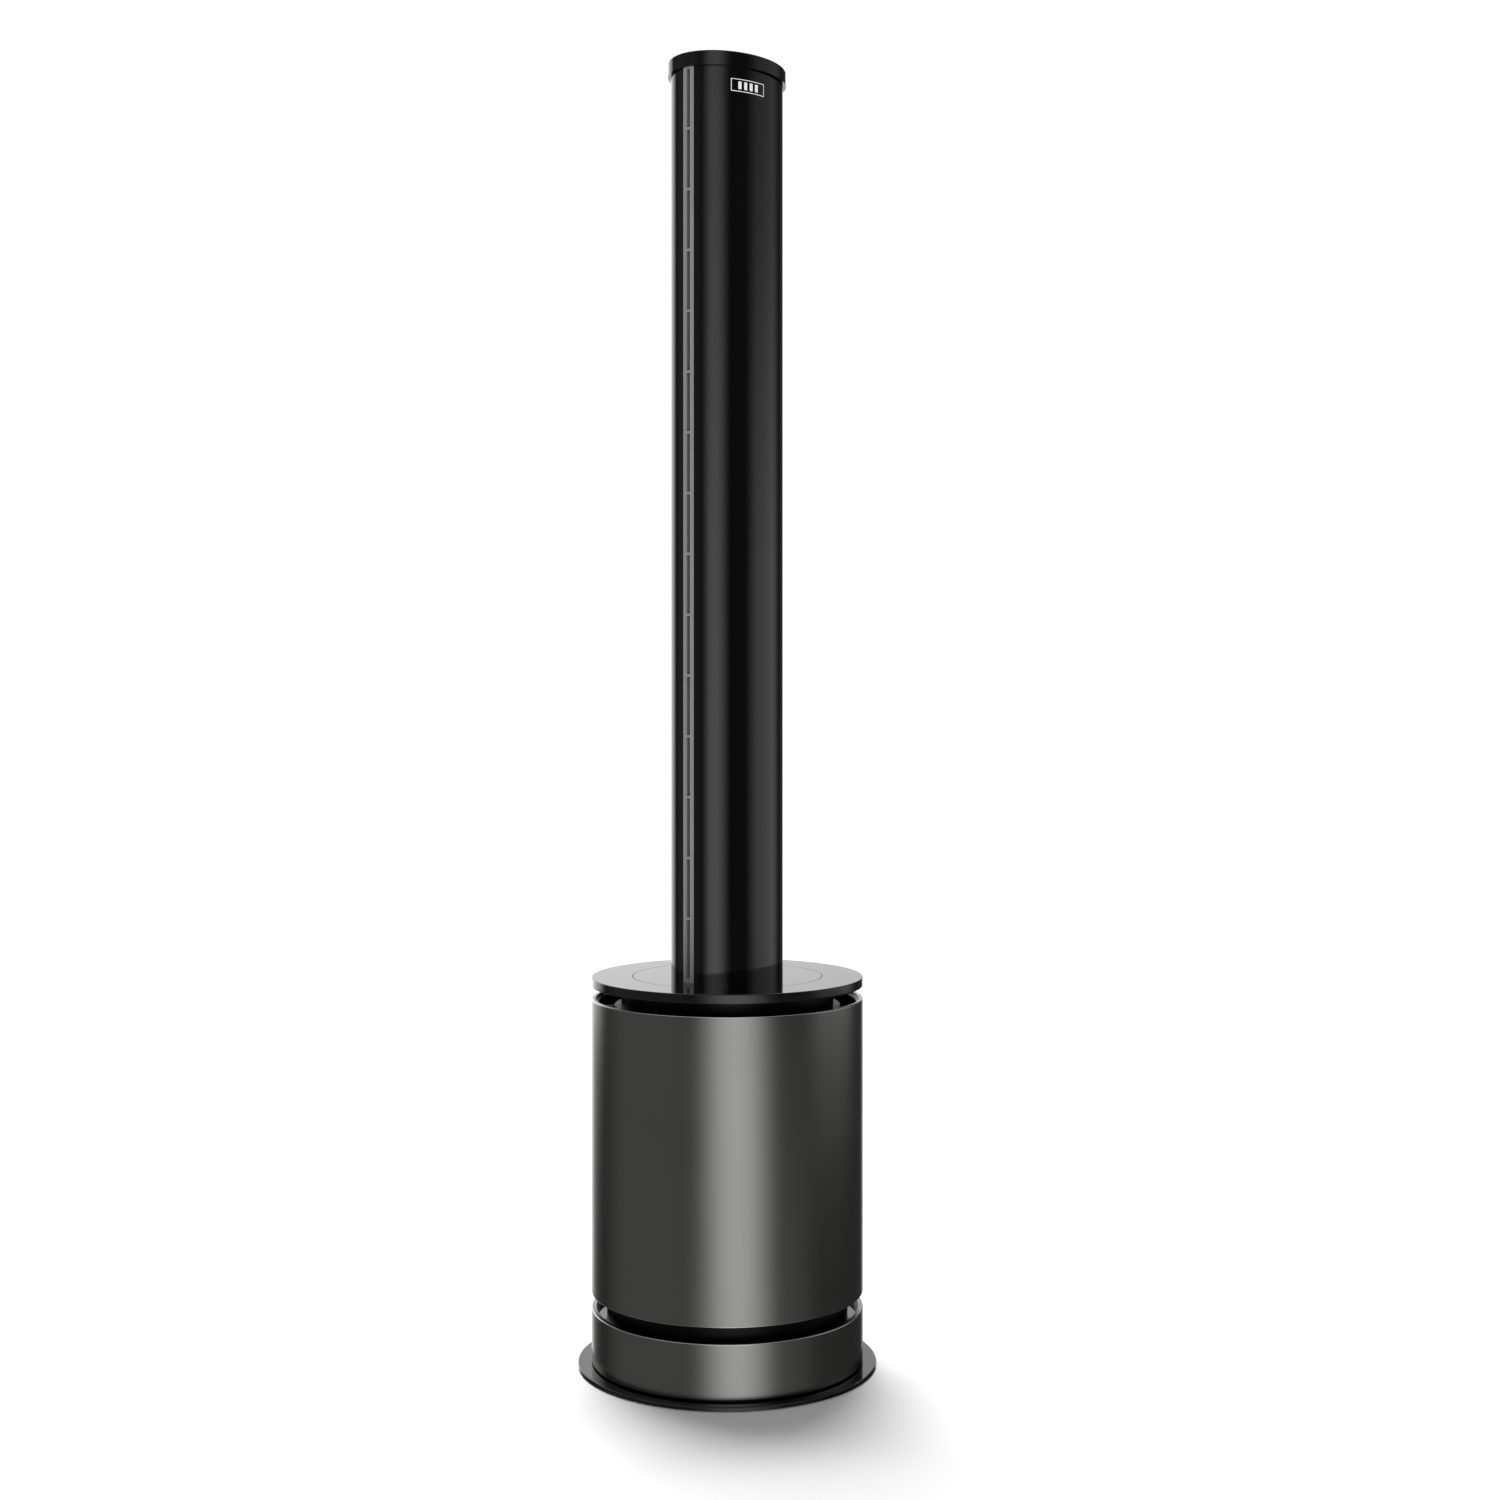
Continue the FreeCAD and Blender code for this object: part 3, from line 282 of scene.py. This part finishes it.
def gunmetal_painted_rim_highlight():
    """The same metal in a lighter colour on the rounded rims: a thin painted highlight along each rim."""
    material = finish("gunmetal with painted rim highlight", "#b9b6b1", 0.2, 1.0)
    return add_surface(material, 0.8, 0.0008, 30.0, ("#b4b1ac", "#bebbb6"), (0.17, 0.23))


def eroded_black_abs():
    """Moulded in a finely spark-eroded tool: dark satin black with a faint sand-like grain."""
    material = finish("spark-eroded black ABS", "#040404", 0.32, IOR=1.53, Specular_IOR_Level=0.12)
    return add_surface(material, 0.6, 0.008, 35.0, ("#030303", "#060606"), (0.28, 0.36))


def eroded_grey_abs():
    """The same tool finish in grey: even, soft and slightly grainy."""
    material = finish("spark-eroded grey ABS", "#8a8a8a", 0.45, IOR=1.53)
    return add_surface(material, 0.6, 0.008, 30.0, ("#868686", "#8e8e8e"), (0.4, 0.5))


def machined_acetal():
    """Hobbed from natural rod: waxy off-white with faint tool lines."""
    material = finish("machined acetal", "#e0dfd8", 0.34, IOR=1.48)
    return add_surface(material, 0.5, 0.006, 20.0, ("#dcdbd3", "#e4e3dd"), (0.3, 0.4), (1, 1, 6))


def moulded_rubber():
    """Pressed in a blasted mould: matt, nearly black, with a dusty bloom in patches."""
    material = finish("moulded black rubber", "#171717", 0.8, IOR=1.52)
    return add_surface(material, 0.45, 0.02, 12.0, ("#131313", "#1f1f1f"), (0.72, 0.88))


def pressed_felt():
    """Wool felt punched from sheet: matt, with tangled fibres that catch light at the edge."""
    material = finish("pressed black felt", "#262626", 0.95, Sheen_Weight=0.4)
    return add_surface(material, 0.3, 0.12, 6.0, ("#1c1c1c", "#303030"), (0.9, 1.0), (1, 1, 3))


def filter_fleece():
    """Melt-blown fleece folded into pleats: white, soft and slightly blotchy."""
    material = finish("pleated filter fleece", "#e6e6e2", 0.92, Sheen_Weight=0.2)
    return add_surface(material, 0.35, 0.08, 9.0, ("#deded9", "#eeeeea"), (0.88, 0.97))


def zinc_plated_steel():
    """Turned, then zinc plated: silvery, a little cloudy, with the turning lines just showing."""
    material = finish("zinc plated steel", "#c3c4c6", 0.3, 1.0)
    return add_surface(material, 0.25, 0.004, 5.0, ("#b6b8bb", "#d0d0d0"), (0.24, 0.4), (1, 1, 8))


def die_cast_aluminium():
    """Cast under pressure and left raw: pale grey with a coarse, cloudy skin."""
    material = finish("die-cast aluminium", "#c9c9cc", 0.42, 1.0)
    return add_surface(material, 0.9, 0.02, 8.0, ("#bcbcc0", "#d4d4d6"), (0.36, 0.5))


def sintered_ferrite():
    """Pressed and fired powder: dark grey, dull and finely pitted."""
    material = finish("sintered ferrite magnet", "#3d3d40", 0.62)
    return add_surface(material, 0.4, 0.02, 6.0, ("#353537", "#454548"), (0.55, 0.7))


def enamelled_copper():
    """Wire laid side by side under clear enamel: orange brown ridges half a millimetre apart."""
    material = finish("enamelled copper wire", "#b9672f", 0.3, 1.0, Coat_Weight=0.5)
    return add_surface(material, 0.5, 0.05, 4.0, ("#a9582a", "#c87a3d"), (0.25, 0.36), (0.1, 0.1, 1))


def nickel_plated_brass():
    """Stamped contact with a thin plating: warm silver, smooth, worn yellow in patches."""
    material = finish("nickel plated brass", "#cfc39a", 0.22, 1.0)
    return add_surface(material, 0.4, 0.003, 2.5, ("#d8d0b4", "#c2ad6a"), (0.18, 0.3))


def solder_masked_board():
    """Glass-fibre laminate under green mask: glossy, with the copper pads' edges as faint ridges."""
    material = finish("solder-masked circuit board", "#17562f", 0.28, IOR=1.55)
    return add_surface(material, 2.0, 0.03, 7.0, ("#124a27", "#1f6a3b"), (0.22, 0.36))


def moulded_epoxy():
    """Transfer-moulded packages: flat charcoal with a powdery grain."""
    material = finish("moulded epoxy package", "#242424", 0.58)
    return add_surface(material, 0.25, 0.01, 5.0, ("#1e1e1e", "#2b2b2b"), (0.5, 0.65))


def frosted_light_pipe():
    """Frosted polycarbonate, unlit: a milky grey bar."""
    material = finish("frosted polycarbonate light pipe", "#6c6c6c", 0.3, IOR=1.58)
    return add_surface(material, 0.5, 0.004, 3.0, ("#666666", "#727272"), (0.26, 0.36))


def white_badge_lacquer():
    """Lacquer printed on the badge's raised border and bars: white and crisp, with a low sheen."""
    material = finish("white printed lacquer", "#f6f6f6", 0.25, IOR=1.6)
    return add_surface(material, 0.6, 0.002, 4.0, ("#f2f2f2", "#fafafa"), (0.2, 0.3))


finishes = {
    "gloss_black_abs": polished_black_abs(),
    "black_enamel": black_enamelled_steel(),
    "gunmetal_anodised": blasted_gunmetal(),
    "black_abs": eroded_black_abs(),
    "grey_abs": eroded_grey_abs(),
    "acetal": machined_acetal(),
    "rubber": moulded_rubber(),
    "felt": pressed_felt(),
    "filter_fleece": filter_fleece(),
    "zinc_steel": zinc_plated_steel(),
    "motor_can": die_cast_aluminium(),
    "magnet": sintered_ferrite(),
    "copper": enamelled_copper(),
    "brass": nickel_plated_brass(),
    "board": solder_masked_board(),
    "component_black": moulded_epoxy(),
    "light_pipe": frosted_light_pipe(),
    "badge_silver": white_badge_lacquer(),
}
# lighter metal colour for the rounded rims of shell and band: a painted highlight, not a finish of its own
rim_highlight_paint = gunmetal_painted_rim_highlight()
slot_of_node = {part["node"]: part["material_slot"] for part in frame["record"]["subparts"]}


def finish_cad_nodes():
    """Gives every CAD node the finish of its material slot."""
    for name, piece in frame["nodes"].items():
        piece.data.materials.clear()
        piece.data.materials.append(finishes[slot_of_node[name]])


# ---------------------------------------------------------------- shapes
def rounded(corners):
    """Outline points (across, up, is_edge) from corners (across, up, radius).

    Each arc has a short holding strip on both sides.
    """
    outline = []
    for index, (across, up, radius) in enumerate(corners):
        here = Vector((across, up))
        if radius == 0:
            outline.append((across, up, False))
            continue
        back = (Vector(corners[index - 1][:2]) - here).normalized()
        on = (Vector(corners[(index + 1) % len(corners)][:2]) - here).normalized()
        half = back.angle(on) / 2
        reach = radius / math.tan(half)
        middle = here + (back + on).normalized() * radius / math.sin(half)
        start = here + back * reach - middle
        end = here + on * reach - middle
        outline.append((*(middle + start + back * HOLD), False))
        for step in range(EDGE_STEPS + 1):
            outline.append((*(middle + start.slerp(end, step / EDGE_STEPS) * radius), step < EDGE_STEPS))
        outline.append((*(middle + end + on * HOLD), False))
    return outline


def add_piece(name, vertices, faces, face_materials, materials, node, body):
    """Makes a mesh piece that stands for a CAD node and rides on its body."""
    mesh = bpy.data.meshes.new(name)
    mesh.from_pydata(vertices, [], faces)
    for material in materials:
        mesh.materials.append(material)
    mesh.polygons.foreach_set("material_index", face_materials)
    shape = bmesh.new()
    shape.from_mesh(mesh)
    bmesh.ops.recalc_face_normals(shape, faces=shape.faces)
    shape.to_mesh(mesh)
    shape.free()
    mesh.polygons.foreach_set("use_smooth", [True] * len(mesh.polygons))
    mesh.set_sharp_from_angle(angle=SHARP_ANGLE)
    piece = bpy.data.objects.new(name, mesh)
    bpy.context.collection.objects.link(piece)
    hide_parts(node)
    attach(piece, body)
    return piece


def add_swept(name, corners, materials, node, body):
    """Closed outline taken round Z; its rounded edges take the second material, if there is one."""
    outline = rounded(corners)
    count = len(outline)
    vertices = []
    for turn in range(FINE_TURN):
        angle = 2 * math.pi * turn / FINE_TURN
        for across, up, _ in outline:
            vertices.append((across * math.sin(angle), -across * math.cos(angle), up))
    faces = []
    indexes = []
    for turn in range(FINE_TURN):
        here = turn * count
        there = (turn + 1) % FINE_TURN * count
        for row, (_, _, is_edge) in enumerate(outline):
            following = (row + 1) % count
            faces.append((here + row, here + following, there + following, there + row))
            indexes.append(int(is_edge) if len(materials) > 1 else 0)
    return add_piece(name, vertices, faces, indexes, materials, node, body)


def scaled(corners):
    """The corners in metres, given in millimetres."""
    return [tuple(value * MM for value in corner) for corner in corners]


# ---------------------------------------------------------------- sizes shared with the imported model, mm
SHELL_WALL = 3.1
BAND_WALL = 3.9
HEM_REACH = 2.15
HEM_DROP = 3.4
HEM_DEPTH = 1.4
EDGE_ROUND = 0.8
INLET_FIT = 0.15
TURNTABLE_SEAM = 0.5
BADGE_AZIMUTH = math.radians(57.4)
BADGE_WIDTH = 31.0
BADGE_BORDER = 0.5
BADGE_THICKNESS = 0.5
BADGE_FIELD = 0.25          # thickness left under the recessed field

# ---------------------------------------------------------------- sizes of the finer detail made here, mm
INNER_ROUND = 0.5
DECK_HOLE_ROUND = 0.15
MARK_THICKNESS = 0.42
MARK_BARS = 4
MARK_BAR_WIDTH = 2.8
MARK_BAR_PITCH = 5.2
MARK_BAR_HEIGHT = 6.0
BADGE_LINE_GAP = 0.3        # least distance between two of the badge mesh's upright lines


def node_span(node):
    """Radius, lowest and highest level of a round node, in millimetres."""
    low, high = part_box(node)
    return high.x / MM, low.z / MM, high.z / MM


def add_outer_shell():
    """Long cylinder between the gaps, with a hem turned inwards below its upper rim."""
    radius, bottom, top = node_span("outer_shell")
    inner = radius - SHELL_WALL
    hem_top = top - HEM_DROP
    hem_bottom = hem_top - HEM_DEPTH
    corners = [(radius, bottom, EDGE_ROUND), (radius, top, EDGE_ROUND), (inner, top, INNER_ROUND),
               (inner, hem_top, 0), (inner - HEM_REACH, hem_top, 0), (inner - HEM_REACH, hem_bottom, 0),
               (inner, hem_bottom, 0), (inner, bottom, INNER_ROUND)]
    # the rounded rims take the lighter colour, a painted highlight
    materials = [finishes["gunmetal_anodised"], rim_highlight_paint]
    add_swept("rolled_shell", scaled(corners), materials, "outer_shell", "base")


def add_top_deck():
    """Disc round the turntable, with rounded rims."""
    radius, bottom, top = node_span("top_deck")
    hole = node_span("turntable")[0] + TURNTABLE_SEAM
    corners = [(radius, bottom, EDGE_ROUND), (radius, top, EDGE_ROUND), (hole, top, DECK_HOLE_ROUND),
               (hole, bottom, DECK_HOLE_ROUND)]
    add_swept("deck_ring", scaled(corners), [finishes["gloss_black_abs"]], "top_deck", "base")


def cut_opening(piece, low, high):
    """Cuts a block-shaped opening right through a piece."""
    shape = bmesh.new()
    bmesh.ops.create_cube(shape, size=1.0)
    for vertex in shape.verts:
        vertex.co = Vector(low[axis] if vertex.co[axis] < 0 else high[axis] for axis in range(3))
    mesh = bpy.data.meshes.new("opening")
    shape.to_mesh(mesh)
    shape.free()
    cutter = bpy.data.objects.new("opening", mesh)
    bpy.context.collection.objects.link(cutter)
    cut = piece.modifiers.new("opening", "BOOLEAN")
    cut.object = cutter
    cut.operation = "DIFFERENCE"
    cut.solver = "EXACT"
    shown = piece.evaluated_get(bpy.context.evaluated_depsgraph_get())
    result = bpy.data.meshes.new_from_object(shown)
    piece.modifiers.clear()
    piece.data = result
    result.set_sharp_from_angle(angle=SHARP_ANGLE)
    bpy.data.objects.remove(cutter)


def add_lower_band():
    """Short band under the lower gap, with the mains socket let into its back."""
    radius, bottom, top = node_span("lower_band")
    inner = radius - BAND_WALL
    corners = [(radius, bottom, INNER_ROUND), (radius, top, EDGE_ROUND), (inner, top, 0), (inner, bottom, 0)]
    # the rounded rims take the lighter colour, a painted highlight
    band = add_swept("rolled_band", scaled(corners), [finishes["gunmetal_anodised"], rim_highlight_paint],
                     "lower_band", "base")
    socket_low, socket_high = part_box("power_inlet")
    room = INLET_FIT * MM
    inside = (inner - BAND_WALL) * MM           # the opening is cut well past both faces of the wall
    outside = (radius + BAND_WALL) * MM
    cut_opening(band, (socket_low.x - room, inside, socket_low.z - room),
                (socket_high.x + room, outside, socket_high.z + room))


def add_badge():
    """Thin badge bent round the column: white border and bars, black field."""
    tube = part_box("column_tube")[1] / MM
    low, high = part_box("badge_plate")
    height = (high.z - low.z) / MM
    middle = (high.z + low.z) / 2 / MM

    def point(across, up, out):
        """Place on or above the column's side, measured from the badge's middle."""
        width = tube.x + out
        length = tube.y + out
        reach = math.hypot(width * math.cos(BADGE_AZIMUTH), length * math.sin(BADGE_AZIMUTH))
        start = math.atan2(length * math.sin(BADGE_AZIMUTH), width * math.cos(BADGE_AZIMUTH))
        turn = start + math.asin(across / reach)
        return (width * math.sin(turn) * MM, -length * math.cos(turn) * MM, (middle + up) * MM)

    bars = [(index - (MARK_BARS - 1) / 2) * MARK_BAR_PITCH for index in range(MARK_BARS)]
    half = BADGE_WIDTH / 2
    across_lines = {-half, -half + BADGE_BORDER, half - BADGE_BORDER, half}
    across_lines |= {bar + side * MARK_BAR_WIDTH / 2 for bar in bars for side in (-1, 1)}
    for step in range(-int(half) + 1, int(half)):
        if min(abs(step - line) for line in across_lines) > BADGE_LINE_GAP:
            across_lines.add(float(step))
    across_lines = sorted(across_lines)
    up_lines = sorted(side * level for side in (-1, 1)
                      for level in (height / 2, height / 2 - BADGE_BORDER, MARK_BAR_HEIGHT / 2))

    def thickness(column, row):
        """Thickness of one cell of the badge; nothing lies beyond its edge."""
        if not (0 <= column < len(across_lines) - 1 and 0 <= row < len(up_lines) - 1):
            return 0.0
        across = (across_lines[column] + across_lines[column + 1]) / 2
        up = (up_lines[row] + up_lines[row + 1]) / 2
        if abs(across) > half - BADGE_BORDER or abs(up) > height / 2 - BADGE_BORDER:
            return BADGE_THICKNESS
        on_bar = any(abs(across - bar) < MARK_BAR_WIDTH / 2 for bar in bars)
        return MARK_THICKNESS if on_bar and abs(up) < MARK_BAR_HEIGHT / 2 else BADGE_FIELD

    vertices = []
    number = {}

    def corner(column, row, out):
        """Number of the vertex at a crossing of two lines, made when first needed."""
        key = (column, row, out)
        if key not in number:
            number[key] = len(vertices)
            vertices.append(point(across_lines[column], up_lines[row], out))
        return number[key]

    faces = []
    indexes = []
    for column in range(len(across_lines) - 1):
        for row in range(len(up_lines) - 1):
            here = thickness(column, row)
            loop = [(column, row), (column + 1, row), (column + 1, row + 1), (column, row + 1)]
            is_field = int(here == BADGE_FIELD)
            for out in (here, 0.0):
                faces.append([corner(*place, out) for place in loop])
                indexes.append(is_field)
            beside = [(column, row - 1), (column + 1, row), (column, row + 1), (column - 1, row)]
            for step, neighbour in enumerate(beside):
                there = thickness(*neighbour)
                if there < here:
                    first, second = loop[step], loop[(step + 1) % 4]
                    faces.append([corner(*first, there), corner(*second, there), corner(*second, here),
                                  corner(*first, here)])
                    indexes.append(is_field)
    materials = [finishes["badge_silver"], finishes["gloss_black_abs"]]
    add_piece("column_badge", vertices, faces, indexes, materials, "badge_plate", "tower")


# ---------------------------------------------------------------- make everything
add_camera()
add_floor()
add_soft_light("key light", KEY_STRENGTH, KEY_SOFTNESS, KEY_AZIMUTH, KEY_ELEVATION)
add_soft_light("front fill", FILL_STRENGTH, FILL_SOFTNESS, CAMERA_AZIMUTH, FILL_ELEVATION)
add_studio()
finish_cad_nodes()
add_outer_shell()
add_lower_band()
add_top_deck()
add_badge()
